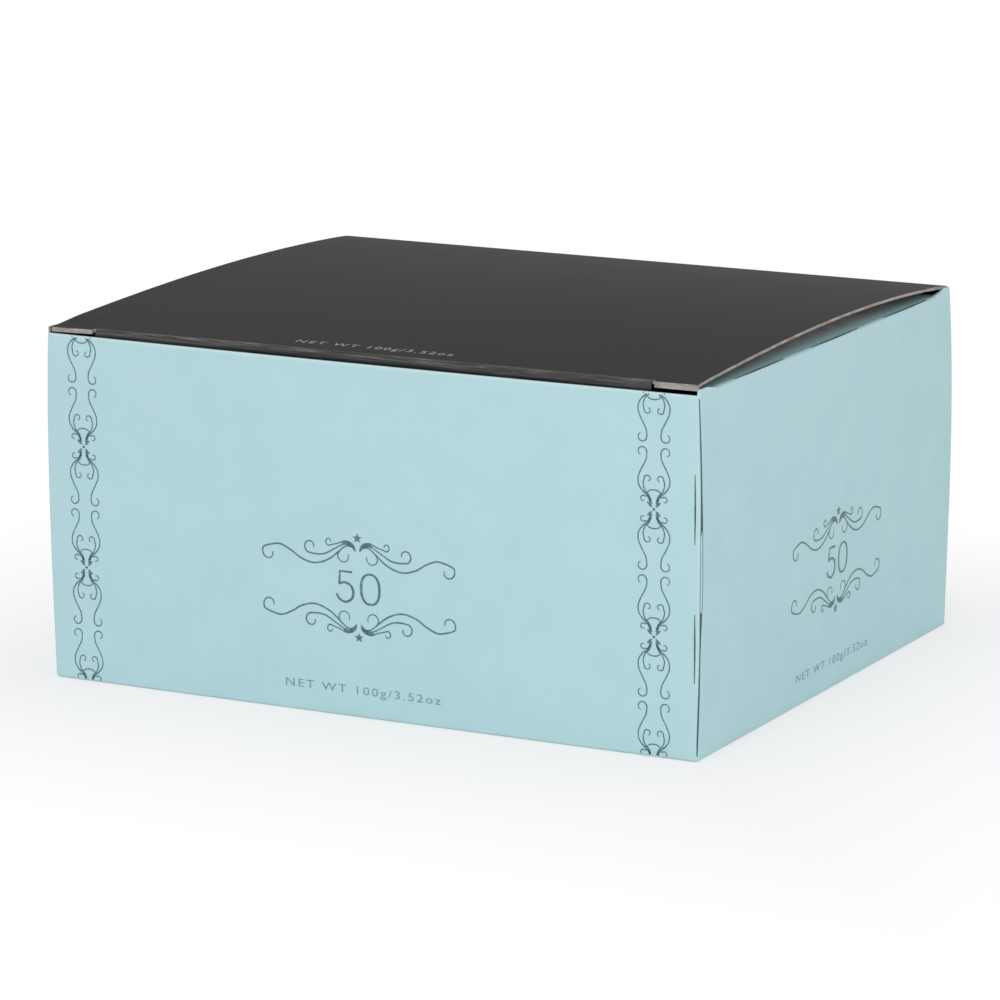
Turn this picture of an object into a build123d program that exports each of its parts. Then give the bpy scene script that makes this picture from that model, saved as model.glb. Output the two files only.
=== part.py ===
"""A shut tuck-top tea box: a filled carton, its lid with the tucked front fold, and two dust flaps.

Units are millimetres. The origin is under the middle of the base, +X is the box's right as its
front is faced, -Y is the front and +Z is up.
"""
from build123d import *
import math
import os

os.makedirs("parts", exist_ok=True)

# The carton, measured over its creases.
WIDTH = 152.0
DEPTH = 128.0
FLAP_CREASE_Z = 75.2
FRONT_EDGE_Z = 74.8
BOARD = 0.5
CORNER_RADIUS = 1.0
BASE_RADIUS = 0.7
FLAP_CREASE_RADIUS = 0.9

# How far the walls have swollen at four heights: height, corners sideways, back corners
# backwards, then the middles of the front, side and back panels beyond their corners.
WALL_SECTIONS = [
    (0.0, 0.0, 0.0, 0.1, 0.05, 0.05),
    (25.0, 0.6, 0.2, 0.5, 0.3, 0.3),
    (50.0, 0.8, 0.4, 0.9, 0.4, 0.5),
    (FLAP_CREASE_Z, 0.1, 0.0, 1.1, 0.1, 0.05),
]

# The lid: a sheet hinged along the back crease, arched from front to back.
LID_BOARD = 0.6
LID_LEFT_X = -75.0
LID_RIGHT_X = 75.5
LID_FRONT_Y = -63.5
LID_BACK_Y = 64.0
LID_BACK_Z = 76.2
LID_FRONT_LEFT_Z = 76.3
LID_FRONT_RIGHT_Z = 76.9
CROWN_LEFT = 2.0
CROWN_RIGHT = 2.9
CROWN_SKEW = 1.16
CROWN_FULLNESS = 0.75
LID_LINE_STEPS = 8
LID_CREASE_RADIUS = 0.4

# The front fold, between the two lock slits that are cut along the lid's front crease.
FOLD_LEFT_X = -64.2
FOLD_RIGHT_X = 65.2
FOLD_RADIUS = 0.8
TUCK_DEPTH = 3.0
SLIT_END_WIDTH = 0.8
TUCK_SLOT_HALF_LENGTH = 74.0

# The dust flaps, as far in as they carry the lid.
FLAP_OUTER_X = 74.6
FLAP_INNER_X = 60.0
FLAP_HALF_SPAN = 57.0
FLAP_TAPER = 4.0
FLAP_REST_GAP = 0.05

# The side panels' shoulders, which stand above the flap creases at the corners.
SHOULDER_Z = 76.0
SHOULDER_FLAT = 1.6
SHOULDER_SLOPE = 3.0

# Cut creases: rows of knife cuts that let the board fold easily.
CUT_WIDTH = 0.3
CUT_DEPTH = 0.35
FLAP_CUT_LENGTH = 23.5
FLAP_CUT_PITCH = 37.3
FLAP_CUT_COUNT = 3
CORNER_CUT_LENGTH = 14.2
CORNER_CUT_PITCH = 28.4
CORNER_CUT_COUNT = 2
CORNER_CUT_INSET = 1.2

# The glued seam down the front right corner.
SEAM_WIDTH = 0.4
SEAM_DEPTH = 0.3

# Levels that construction shapes start from and run up to, below and above the lid, and how far
# the fill runs into a sheet before the sheet is cut back out of it.
FILL_FLOOR_Z = 70.0
OVER_LID_Z = 85.0
FILL_OVERRUN = 0.15


def lid_height(x, y):
    """Height of the lid's upper face, whose rise peaks a little behind the middle."""
    across = (x + WIDTH / 2) / WIDTH
    along = (y - LID_FRONT_Y) / (LID_BACK_Y - LID_FRONT_Y)
    front_z = LID_FRONT_LEFT_Z + (LID_FRONT_RIGHT_Z - LID_FRONT_LEFT_Z) * across
    crown = CROWN_LEFT + (CROWN_RIGHT - CROWN_LEFT) * across
    rise = max(0.0, math.sin(math.pi * along**CROWN_SKEW)) ** CROWN_FULLNESS
    return front_z + (LID_BACK_Z - front_z) * along + crown * rise


def lid_line(x, drop, front_y=LID_FRONT_Y, back_y=LID_BACK_Y):
    """Points along the lid from front to back at one x, lowered by drop."""
    points = []
    for step in range(LID_LINE_STEPS + 1):
        y = front_y + (back_y - front_y) * step / LID_LINE_STEPS
        points.append((y, lid_height(x, y) - drop))
    return points


def crease_line(z):
    """Points along a dust flap's straight crease, as many as a lid line has."""
    points = []
    for step in range(LID_LINE_STEPS + 1):
        points.append((FLAP_HALF_SPAN * (2 * step / LID_LINE_STEPS - 1), z))
    return points


def flap_line(x, drop):
    """Points along a dust flap's inner edge, just under the lid, lowered by drop."""
    return lid_line(x, LID_BOARD + FLAP_REST_GAP + drop, -FLAP_HALF_SPAN, FLAP_HALF_SPAN)


# The lid: the arched top panel, then the fold that turns down behind the front panel.
with BuildPart() as lid:
    for end_x in (-WIDTH / 2, WIDTH / 2):
        with BuildSketch(Plane.YZ.offset(end_x)):
            with BuildLine():
                upper = Spline(*lid_line(end_x, 0))
                lower = Spline(*lid_line(end_x, LID_BOARD))
                Line(upper @ 0, lower @ 0)
                Line(upper @ 1, lower @ 1)
            make_face()
    loft(ruled=True)
    with BuildSketch(Plane.XY.offset(FILL_FLOOR_Z)):
        with Locations(((LID_LEFT_X + LID_RIGHT_X) / 2, (LID_FRONT_Y + LID_BACK_Y) / 2)):
            Rectangle(LID_RIGHT_X - LID_LEFT_X, LID_BACK_Y - LID_FRONT_Y)
        with Locations(((FOLD_LEFT_X + FOLD_RIGHT_X) / 2, LID_FRONT_Y)):
            Rectangle(FOLD_RIGHT_X - FOLD_LEFT_X + 2 * SLIT_END_WIDTH, 2 * FOLD_RADIUS, mode=Mode.SUBTRACT)
    extrude(amount=OVER_LID_Z - FILL_FLOOR_Z, mode=Mode.INTERSECT)
    back_crease = lid.edges().group_by(Axis.Y)[-1].sort_by(Axis.Z)[-1]
    fillet(back_crease, LID_CREASE_RADIUS)
    fold_ends = []
    for end_x in (FOLD_LEFT_X, FOLD_RIGHT_X):
        fold_top = lid_height(end_x, LID_FRONT_Y + FOLD_RADIUS)
        with BuildSketch(Plane.YZ.offset(end_x)) as fold_end:
            with BuildLine():
                outer_low = (LID_FRONT_Y, FRONT_EDGE_Z - TUCK_DEPTH)
                outer_bend = (LID_FRONT_Y, fold_top - FOLD_RADIUS)
                outer_top = (LID_FRONT_Y + FOLD_RADIUS, fold_top)
                inner_top = (LID_FRONT_Y + FOLD_RADIUS, fold_top - LID_BOARD)
                inner_bend = (LID_FRONT_Y + LID_BOARD, fold_top - FOLD_RADIUS)
                inner_low = (LID_FRONT_Y + LID_BOARD, FRONT_EDGE_Z - TUCK_DEPTH)
                Line(outer_low, outer_bend)
                TangentArc(outer_bend, outer_top, tangent=(0, 1))
                Line(outer_top, inner_top)
                TangentArc(inner_bend, inner_top, tangent=(0, 1))
                Polyline(inner_bend, inner_low, outer_low)
            make_face()
        fold_ends.append(fold_end.sketch)
    loft(sections=fold_ends, ruled=True)
lid.part.label = "lid"

# A dust flap on each side: it leaves its crease and rises until it meets the lid.
with BuildPart() as dust_flap_right:
    with BuildSketch(Plane.YZ.offset(FLAP_INNER_X)):
        with BuildLine():
            upper = Spline(*flap_line(FLAP_INNER_X, 0))
            lower = Spline(*flap_line(FLAP_INNER_X, BOARD))
            Line(upper @ 0, lower @ 0)
            Line(upper @ 1, lower @ 1)
        make_face()
    with BuildSketch(Plane.YZ.offset(FLAP_OUTER_X)):
        with BuildLine():
            upper = Spline(*crease_line(FLAP_CREASE_Z))
            lower = Spline(*crease_line(FLAP_CREASE_Z - BOARD))
            Line(upper @ 0, lower @ 0)
            Line(upper @ 1, lower @ 1)
        make_face()
    loft(ruled=True)
    with BuildSketch(Plane.XY.offset(FILL_FLOOR_Z)):
        with BuildLine():
            Polyline(
                (FLAP_OUTER_X, -FLAP_HALF_SPAN),
                (FLAP_OUTER_X, FLAP_HALF_SPAN),
                (FLAP_INNER_X, FLAP_HALF_SPAN - FLAP_TAPER),
                (FLAP_INNER_X, FLAP_TAPER - FLAP_HALF_SPAN),
                close=True,
            )
        make_face()
    extrude(amount=OVER_LID_Z - FILL_FLOOR_Z, mode=Mode.INTERSECT)
dust_flap_right.part.label = "dust_flap_right"

with BuildPart() as dust_flap_left:
    with BuildSketch(Plane.YZ.offset(-FLAP_INNER_X)):
        with BuildLine():
            upper = Spline(*flap_line(-FLAP_INNER_X, 0))
            lower = Spline(*flap_line(-FLAP_INNER_X, BOARD))
            Line(upper @ 0, lower @ 0)
            Line(upper @ 1, lower @ 1)
        make_face()
    with BuildSketch(Plane.YZ.offset(-FLAP_OUTER_X)):
        with BuildLine():
            upper = Spline(*crease_line(FLAP_CREASE_Z))
            lower = Spline(*crease_line(FLAP_CREASE_Z - BOARD))
            Line(upper @ 0, lower @ 0)
            Line(upper @ 1, lower @ 1)
        make_face()
    loft(ruled=True)
    with BuildSketch(Plane.XY.offset(FILL_FLOOR_Z)):
        with BuildLine():
            Polyline(
                (-FLAP_OUTER_X, -FLAP_HALF_SPAN),
                (-FLAP_OUTER_X, FLAP_HALF_SPAN),
                (-FLAP_INNER_X, FLAP_HALF_SPAN - FLAP_TAPER),
                (-FLAP_INNER_X, FLAP_TAPER - FLAP_HALF_SPAN),
                close=True,
            )
        make_face()
    extrude(amount=OVER_LID_Z - FILL_FLOOR_Z, mode=Mode.INTERSECT)
dust_flap_left.part.label = "dust_flap_left"

# The space under the lid that the contents and the back panel fill, to just inside the lid sheet.
with BuildPart() as crown_fill:
    for end_x in (-WIDTH / 2, WIDTH / 2):
        with BuildSketch(Plane.YZ.offset(end_x)):
            with BuildLine():
                in_lid = Spline(*lid_line(end_x, LID_BOARD - FILL_OVERRUN))
                Polyline(in_lid @ 1, (LID_BACK_Y, FILL_FLOOR_Z), (LID_FRONT_Y, FILL_FLOOR_Z), in_lid @ 0)
            make_face()
    loft(ruled=True)
    with BuildSketch(Plane.XY.offset(FILL_FLOOR_Z)):
        with Locations((0, (LID_FRONT_Y + FOLD_RADIUS + LID_BACK_Y) / 2)):
            Rectangle(2 * FLAP_INNER_X, LID_BACK_Y - LID_FRONT_Y - FOLD_RADIUS)
        with Locations((0, LID_BACK_Y - BOARD / 2)):
            Rectangle(2 * LID_RIGHT_X - 2 * CORNER_RADIUS, BOARD)
    extrude(amount=OVER_LID_Z - FILL_FLOOR_Z, mode=Mode.INTERSECT)

# The slopes that the dust flaps lie on, to just inside the flaps.
with BuildPart() as flap_seats:
    for side in (-1, 1):
        with BuildSketch(Plane.YZ.offset(side * FLAP_INNER_X)) as inner_end:
            with BuildLine():
                in_flap = Spline(*flap_line(side * FLAP_INNER_X, BOARD - FILL_OVERRUN))
                floor_ends = (FLAP_HALF_SPAN, FILL_FLOOR_Z), (-FLAP_HALF_SPAN, FILL_FLOOR_Z)
                Polyline(in_flap @ 1, *floor_ends, in_flap @ 0)
            make_face()
        with BuildSketch(Plane.YZ.offset(side * FLAP_OUTER_X)) as outer_end:
            with BuildLine():
                in_flap = Spline(*crease_line(FLAP_CREASE_Z - BOARD + FILL_OVERRUN))
                Polyline(in_flap @ 1, *floor_ends, in_flap @ 0)
            make_face()
        loft(sections=[inner_end.sketch, outer_end.sketch], ruled=True)

# The side panels' shoulders at the four corners.
with BuildPart() as shoulders:
    with BuildSketch(Plane.XY.offset(FILL_FLOOR_Z)):
        RectangleRounded(WIDTH, DEPTH, CORNER_RADIUS)
        Rectangle(WIDTH - 2 * BOARD, 2 * DEPTH, mode=Mode.SUBTRACT)
    extrude(amount=OVER_LID_Z - FILL_FLOOR_Z)
    with BuildSketch(Plane.YZ.offset(-WIDTH)):
        for end in (-1, 1):
            with BuildLine():
                Polyline(
                    (end * DEPTH / 2, FILL_FLOOR_Z),
                    (end * DEPTH / 2, SHOULDER_Z),
                    (end * (DEPTH / 2 - SHOULDER_FLAT), SHOULDER_Z),
                    (end * (DEPTH / 2 - SHOULDER_FLAT - SHOULDER_SLOPE), FLAP_CREASE_Z - FLAP_CREASE_RADIUS),
                    (end * (DEPTH / 2 - SHOULDER_FLAT - SHOULDER_SLOPE), FILL_FLOOR_Z),
                    close=True,
                )
            make_face()
    extrude(amount=2 * WIDTH, mode=Mode.INTERSECT)

# The carton: front, side, back and base panels around the packed contents, as one shut solid.
with BuildPart() as carton:
    for height, corner_out, corner_back, front_out, side_out, back_out in WALL_SECTIONS:
        with BuildSketch(Plane.XY.offset(height)) as wall_section:
            half_x = WIDTH / 2 + corner_out
            front_y = -DEPTH / 2
            back_y = DEPTH / 2 + corner_back
            mid_y = (front_y + back_y) / 2
            with BuildLine():
                ThreePointArc((-half_x, front_y), (0, front_y - front_out), (half_x, front_y))
                ThreePointArc((half_x, front_y), (half_x + side_out, mid_y), (half_x, back_y))
                ThreePointArc((half_x, back_y), (0, back_y + back_out), (-half_x, back_y))
                ThreePointArc((-half_x, back_y), (-half_x - side_out, mid_y), (-half_x, front_y))
            make_face()
            fillet(wall_section.vertices(), CORNER_RADIUS)
    loft()
    fillet(carton.edges().group_by(Axis.Z)[0], BASE_RADIUS)
    side_creases = carton.edges().group_by(Axis.Z)[-1].sort_by(Axis.X)
    fillet([side_creases[0], side_creases[-1]], FLAP_CREASE_RADIUS)
    # The front panel's raw top edge is a little lower than the flap creases.
    slot_back_y = LID_FRONT_Y + FOLD_RADIUS
    with BuildSketch(Plane.XY.offset(FRONT_EDGE_Z)):
        with Locations((0, slot_back_y)):
            Rectangle(2 * WIDTH, DEPTH, align=(Align.CENTER, Align.MAX))
    extrude(amount=OVER_LID_Z - FRONT_EDGE_Z, mode=Mode.SUBTRACT)
    # The slot behind the swollen front panel that the lid's tuck goes down.
    with BuildSketch(Plane.XY.offset(FRONT_EDGE_Z - TUCK_DEPTH)):
        with BuildLine():
            slot_left = (-TUCK_SLOT_HALF_LENGTH, LID_FRONT_Y)
            slot_right = (TUCK_SLOT_HALF_LENGTH, LID_FRONT_Y)
            ThreePointArc(slot_left, (0, -DEPTH / 2 - WALL_SECTIONS[-1][3] + BOARD), slot_right)
            slot_back = (TUCK_SLOT_HALF_LENGTH, slot_back_y), (-TUCK_SLOT_HALF_LENGTH, slot_back_y)
            Polyline(slot_right, *slot_back, slot_left)
        make_face()
    extrude(amount=OVER_LID_Z - FRONT_EDGE_Z, mode=Mode.SUBTRACT)
    add(crown_fill.part)
    add(flap_seats.part)
    add(shoulders.part)
    add(lid.part, mode=Mode.SUBTRACT)
    add(dust_flap_right.part, mode=Mode.SUBTRACT)
    add(dust_flap_left.part, mode=Mode.SUBTRACT)
    # Knife cuts along both flap creases.
    for side in (-1, 1):
        with BuildSketch(Plane.YZ.offset(side * WIDTH / 2)):
            with Locations((0, FLAP_CREASE_Z - FLAP_CREASE_RADIUS)):
                with GridLocations(FLAP_CUT_PITCH, 1, FLAP_CUT_COUNT, 1):
                    Rectangle(FLAP_CUT_LENGTH, CUT_WIDTH)
        extrude(amount=CUT_DEPTH, both=True, mode=Mode.SUBTRACT)
    # Knife cuts beside the front right corner.
    with BuildSketch(Plane.XZ.offset(DEPTH / 2)):
        with Locations((WIDTH / 2 - CORNER_CUT_INSET, FLAP_CREASE_Z / 2)):
            with GridLocations(1, CORNER_CUT_PITCH, 1, CORNER_CUT_COUNT):
                Rectangle(CUT_WIDTH, CORNER_CUT_LENGTH)
    extrude(amount=CUT_DEPTH, both=True, mode=Mode.SUBTRACT)
    # The groove beside the front panel's raw edge, where it is glued down at the corner.
    seam_ends = []
    for height, corner_out, _, _, _, _ in WALL_SECTIONS:
        with BuildSketch(Plane.XY.offset(height)) as seam_end:
            to_corner_face = CORNER_RADIUS * (1 - math.sqrt(0.5))
            with Locations((WIDTH / 2 + corner_out - to_corner_face, to_corner_face - DEPTH / 2)):
                Rectangle(SEAM_WIDTH, 2 * SEAM_DEPTH, rotation=45)
        seam_ends.append(seam_end.sketch)
    loft(sections=seam_ends, mode=Mode.SUBTRACT)
carton.part.label = "carton"

for piece in (carton, lid, dust_flap_right, dust_flap_left):
    print(piece.part.label, piece.part.is_valid, len(piece.part.solids()), round(piece.part.volume, 1))
    export_step(piece.part, f"parts/{piece.part.label}.step")
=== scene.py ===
# %% [markdown]
# # A tuck-top tea box
# A folding carton is one sheet of coated board, cut, creased and glued. Shut, it shows four swollen
# walls, a lid hinged at the back whose front fold tucks down behind the front wall, and a dust flap
# at each side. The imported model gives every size; this file only dresses it.

import math
import random
from itertools import product

import bpy
from mathutils import Matrix, Vector


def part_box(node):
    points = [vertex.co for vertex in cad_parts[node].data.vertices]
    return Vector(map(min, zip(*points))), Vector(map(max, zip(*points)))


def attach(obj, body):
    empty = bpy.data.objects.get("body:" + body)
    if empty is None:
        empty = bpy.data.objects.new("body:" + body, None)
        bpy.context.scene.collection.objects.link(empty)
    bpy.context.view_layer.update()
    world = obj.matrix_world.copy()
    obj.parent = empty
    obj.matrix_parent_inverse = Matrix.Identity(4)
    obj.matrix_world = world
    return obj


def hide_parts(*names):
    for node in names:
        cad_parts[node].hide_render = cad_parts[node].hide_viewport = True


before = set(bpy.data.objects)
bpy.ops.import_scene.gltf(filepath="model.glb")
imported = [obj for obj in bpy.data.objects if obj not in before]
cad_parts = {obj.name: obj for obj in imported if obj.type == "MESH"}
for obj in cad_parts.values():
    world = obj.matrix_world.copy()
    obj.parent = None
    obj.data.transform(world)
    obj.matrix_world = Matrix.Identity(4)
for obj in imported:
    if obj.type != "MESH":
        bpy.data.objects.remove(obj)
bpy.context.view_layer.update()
MM = 0.001

# %% [markdown]
# ## Sizes of the board and its creases
# All the pieces share a few sizes in millimetres. They follow the solids: the lid's two front
# corners, its crown, and the creases. Keeping them in one cell lets every surface, and the print
# that lies on it, be worked out from the same numbers.

# %% Sizes, in millimetres
WIDTH, DEPTH = 152.0, 128.0
FLAP_CREASE_Z, FRONT_EDGE_Z, BACK_EDGE_Z, SHOULDER_Z = 75.2, 74.8, 75.6, 76.0
BOARD, LID_BOARD = 0.5, 0.6
CORNER_RADIUS, BASE_RADIUS, CREASE_RADIUS = 1.0, 0.7, 0.9
PRINT_ROOM = 0.05
FRONT_Y = -DEPTH / 2 + PRINT_ROOM
LID_LEFT_X, LID_RIGHT_X, LID_FRONT_Y, LID_BACK_Y = -75.0, 75.5, -63.5, 64.0
LID_BACK_Z, LID_FRONT_LEFT_Z, LID_FRONT_RIGHT_Z = 76.2, 76.3, 76.9
CROWN_LEFT, CROWN_RIGHT, CROWN_SKEW, CROWN_FULLNESS = 2.0, 2.9, 1.16, 0.75
FOLD_LEFT_X, FOLD_RIGHT_X, FOLD_RADIUS = -64.2, 65.2, 0.8
FLAP_OUTER_X, FLAP_INNER_X, FLAP_HALF_SPAN = 74.6, 60.0, 57.0
SWELL_HEIGHTS = (0.0, 25.0, 50.0, 75.2)
CORNER_OUT, CORNER_BACK = (0.0, 0.6, 0.8, 0.1), (0.0, 0.2, 0.4, 0.0)
FRONT_OUT, SIDE_OUT, BACK_OUT = (0.1, 0.5, 0.9, 1.1), (0.05, 0.3, 0.4, 0.1), (0.05, 0.3, 0.5, 0.05)
carton_low, carton_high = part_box("carton")
print("carton height, mm", round((carton_high[2] - carton_low[2]) / MM, 1))

# %% [markdown]
# ## The swollen walls as formulas
# A full carton bows out: most in the middle of a wall and at mid height. `swell` runs a smooth
# curve through the amounts at four heights. Each wall then has a place function that takes a
# position across the wall and a height, and gives a point and the way the wall faces there.

# %% Places on the walls
def swell(amounts, z):
    """The smooth curve through the amounts at the four measured heights."""
    total = 0.0
    for i, amount in enumerate(amounts):
        share = 1.0
        for j, height in enumerate(SWELL_HEIGHTS):
            if j != i:
                share *= (z - height) / (SWELL_HEIGHTS[i] - height)
        total += amount * share
    return total


def half_width(z):
    return WIDTH / 2 - PRINT_ROOM + swell(CORNER_OUT, z)


def back_y(z):
    return DEPTH / 2 - PRINT_ROOM + swell(CORNER_BACK, z)


def bow(across):
    """1 in the middle of a wall and 0 at its corners, for across from -1 to 1."""
    return max(0.0, 1.0 - across * across)


def front_place(x, z):
    slope = swell(FRONT_OUT, z) * 2 * x / half_width(z) ** 2
    y = FRONT_Y - swell(FRONT_OUT, z) * bow(x / half_width(z))
    return Vector((x, y, z)), Vector((slope, -1, 0)).normalized()


def side_place(y, z, side):
    middle = (back_y(z) - DEPTH / 2) / 2
    x = half_width(z) + swell(SIDE_OUT, z) * bow((y - middle) / (DEPTH / 2))
    return Vector((side * x, y, z)), Vector((side, 0, 0))


def right_place(y, z):
    return side_place(y, z, 1)


def left_place(u, z):
    return side_place(-u, z, -1)


def back_place(u, z):
    y = back_y(z) + swell(BACK_OUT, z) * bow(u / half_width(z))
    return Vector((-u, y, z)), Vector((0, 1, 0))


print("widest, mm", round(2 * (half_width(40) + swell(SIDE_OUT, 40)), 1))

# %% [markdown]
# ## The lid as a formula
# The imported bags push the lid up, so it arches from front to back and a little more at the right.
# The rise is a skewed sine, because the crown sits behind the middle of the depth.

# %% Places on the lid
def lid_height(x, y):
    across = (x + WIDTH / 2) / WIDTH
    along = min(1.0, max(0.0, (y - LID_FRONT_Y) / (LID_BACK_Y - LID_FRONT_Y)))
    front_z = LID_FRONT_LEFT_Z + (LID_FRONT_RIGHT_Z - LID_FRONT_LEFT_Z) * across
    crown = CROWN_LEFT + (CROWN_RIGHT - CROWN_LEFT) * across
    rise = max(0.0, math.sin(math.pi * along**CROWN_SKEW)) ** CROWN_FULLNESS
    return front_z + (LID_BACK_Z - front_z) * along + crown * rise


print("crown at the right edge, mm", round(lid_height(LID_RIGHT_X, 6), 1))

# %% [markdown]
# ## Making a mesh
# Everything here is a loop of points swept into rows, so one helper builds a closed skin from a
# grid of points and caps both ends. Meshes are written in millimetres and scaled once.

# %% Mesh helpers
def add_mesh(name, points, faces, finish, smooth=True, face_finishes=None, slots=None):
    mesh = bpy.data.meshes.new(name)
    mesh.from_pydata([tuple(c * MM for c in p) for p in points], [], faces)
    for material in slots or [finish]:
        mesh.materials.append(material)
    if face_finishes:
        mesh.polygons.foreach_set("material_index", face_finishes)
    mesh.polygons.foreach_set("use_smooth", [smooth] * len(mesh.polygons))
    mesh.validate()
    mesh.update()
    piece = bpy.data.objects.new(name, mesh)
    bpy.context.scene.collection.objects.link(piece)
    return piece


def loft_faces(rows, loop, first=0, caps=True):
    """Faces of a closed tube of rows, each a loop of points, with flat caps."""
    faces = []
    for row in range(rows - 1):
        for k in range(loop):
            a, b = first + row * loop + k, first + row * loop + (k + 1) % loop
            faces.append((a, b, b + loop, a + loop))
    if caps:
        faces.append(tuple(first + k for k in reversed(range(loop))))
        faces.append(tuple(first + (rows - 1) * loop + k for k in range(loop)))
    return faces


def ease(low, high, value):
    """0 below low, 1 above high, and a smooth step between."""
    share = min(1.0, max(0.0, (value - low) / (high - low)))
    return share * share * (3 - 2 * share)


print("helpers ready")

# %% [markdown]
# ## Shader maths in Python
# A finish is a small sum of noises and masks. `Wire` wraps a shader socket so that such a sum can
# be written as plain Python, and `Finish.node` makes any other node in one call.

# %% Wire and Finish
class Wire:
    """A shader value that adds, subtracts, multiplies and divides like a number."""

    def __init__(self, finish, socket):
        self.finish, self.socket = finish, socket

    def join(self, operation, first, second=0.0, clamp=False):
        settings = {"operation": operation, "use_clamp": clamp}
        return self.finish.node("ShaderNodeMath", settings, {0: first, 1: second})

    def __add__(self, other):
        return self.join("ADD", self, other)

    def __radd__(self, other):
        return self.join("ADD", other, self)

    def __sub__(self, other):
        return self.join("SUBTRACT", self, other)

    def __rsub__(self, other):
        return self.join("SUBTRACT", other, self)

    def __mul__(self, other):
        return self.join("MULTIPLY", self, other)

    def __rmul__(self, other):
        return self.join("MULTIPLY", other, self)

    def __truediv__(self, other):
        return self.join("DIVIDE", self, other)

    def __rtruediv__(self, other):
        return self.join("DIVIDE", other, self)

    def __pow__(self, other):
        return self.join("POWER", self, other)

    def over(self, low, high):
        """0 where the value is below low, 1 where it is above high."""
        return self.join("MULTIPLY", (self - low), 1.0 / (high - low), clamp=True)


class Finish:
    """A material being put together round one Principled shader."""

    def __init__(self, name, **fixed):
        self.material = bpy.data.materials.new(name)
        self.material.use_nodes = True
        self.tree = self.material.node_tree
        self.shader = self.tree.nodes["Principled BSDF"]
        for socket, value in fixed.items():
            self.shader.inputs[socket.replace("_", " ")].default_value = value

    def node(self, kind, settings=None, inputs=None, output=0):
        made = self.tree.nodes.new(kind)
        for key, value in (settings or {}).items():
            setattr(made, key, value)
        for key, value in (inputs or {}).items():
            if isinstance(value, Wire):
                self.tree.links.new(value.socket, made.inputs[key])
            else:
                made.inputs[key].default_value = value
        return Wire(self, made.outputs[output])

    def place(self):
        return self.node("ShaderNodeTexCoord", output="Object")

    def axes(self):
        split = self.node("ShaderNodeSeparateXYZ", inputs={0: self.place()}).socket.node
        return [Wire(self, out) for out in split.outputs]

    def noise(self, scale, detail=3.0, roughness=0.5, stretch=(1, 1, 1)):
        """Noise from about 0.25 to 0.75, with scale in waves per metre."""
        settings = {"operation": "MULTIPLY"}
        where = self.node("ShaderNodeVectorMath", settings, {0: self.place(), 1: stretch})
        inputs = {"Vector": where, "Scale": scale, "Detail": detail, "Roughness": roughness}
        return self.node("ShaderNodeTexNoise", None, inputs)

    def mix(self, share, first, second):
        inputs = {"Factor": share, 6: (*first, 1) if isinstance(first, tuple) else first,
                  7: (*second, 1) if isinstance(second, tuple) else second}
        return self.node("ShaderNodeMix", {"data_type": "RGBA"}, inputs, output=2)

    def link(self, socket, wire):
        self.tree.links.new(wire.socket, self.shader.inputs[socket])

    def bump(self, height, strength, distance):
        inputs = {"Height": height, "Strength": strength, "Distance": distance}
        self.link("Normal", self.node("ShaderNodeBump", None, inputs))


print("shader helpers ready")

# %% [markdown]
# ## Coated board, printed pale blue
# Carton board is a felt of fibres under a thin clay coat and a satin varnish. The print is even,
# but the fibres leave a cloudy mottle, a fine grain in the gloss, and worn, paler corners. A pale
# band along the front wall's top edge is a painted highlight.

# %% Blue board
BLUE, BLUE_DEEP, BLUE_WEAR_AND_HIGHLIGHT = (0.455, 0.665, 0.705), (0.425, 0.640, 0.680), (0.60, 0.76, 0.78)


def blue_board():
    finish = Finish("printed_board_blue", Specular_IOR_Level=0.42, Coat_Roughness=0.35)
    mottle = finish.noise(90.0, 4.0, 0.6)
    grain = finish.noise(5200.0, 2.0, 0.6, (1, 1, 0.45))
    x, y, z = finish.axes()
    out_x = finish.node("ShaderNodeMath", {"operation": "ABSOLUTE"}, {0: x})
    edge_x, edge_y = out_x.over(0.0755, 0.0768), (y * -1.0).over(0.0634, 0.0641)
    corner = edge_x * edge_y * finish.noise(420.0, 3.0).over(0.42, 0.62)
    foot = (1.0 - z.over(0.0, 0.0011)) * finish.noise(300.0, 3.0).over(0.45, 0.65)
    tone = finish.mix(mottle.over(0.3, 0.7), BLUE, BLUE_DEEP)
    # Painted highlight: the front wall's top edge and rim are lightened to a pale band.
    edge_highlight = z.over(0.0741, 0.0747) * edge_y
    wear_and_edge_highlight = (corner * 0.5 + foot * 0.4 + edge_highlight * 0.7)
    finish.link("Base Color", finish.mix(wear_and_edge_highlight, tone, BLUE_WEAR_AND_HIGHLIGHT))
    finish.link("Roughness", 0.40 + mottle * 0.10 + grain * 0.06)
    finish.bump(grain * 0.5 + mottle * 2.0, 0.25, 0.00006)
    return finish.material


blue = blue_board()
print("made", blue.name)

# %% [markdown]
# ## The same board printed black
# A soft black varnish shows everything that happens to the board: long flow marks, rubbed dust,
# and a grey bloom where light grazes it. Folds crack the ink, so the fold's finish adds pale
# streaks that run along the crease, and darkens the fold's lowest part to near black as painted
# shadow where it tucks behind the front wall.

# %% Black board
BLACK, BLACK_RUBBED = (0.014, 0.017, 0.014), (0.028, 0.030, 0.027)
CRACKED = (0.36, 0.33, 0.31)


def black_board():
    finish = Finish("lid_board_black", Specular_IOR_Level=0.025)
    rub = finish.noise(45.0, 5.0, 0.65, (0.6, 1.6, 1))
    grain = finish.noise(4800.0, 2.0, 0.6)
    specks = finish.noise(900.0, 2.0, 0.5).over(0.73, 0.78)
    tone = finish.mix(rub.over(0.35, 0.7), BLACK, BLACK_RUBBED)
    finish.link("Base Color", finish.mix(specks * 0.35, tone, (0.12, 0.12, 0.115)))
    finish.link("Roughness", 0.40 + rub * 0.16 + grain * 0.05)
    finish.bump(grain * 0.5 + rub * 2.5, 0.22, 0.00007)
    return finish.material


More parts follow.
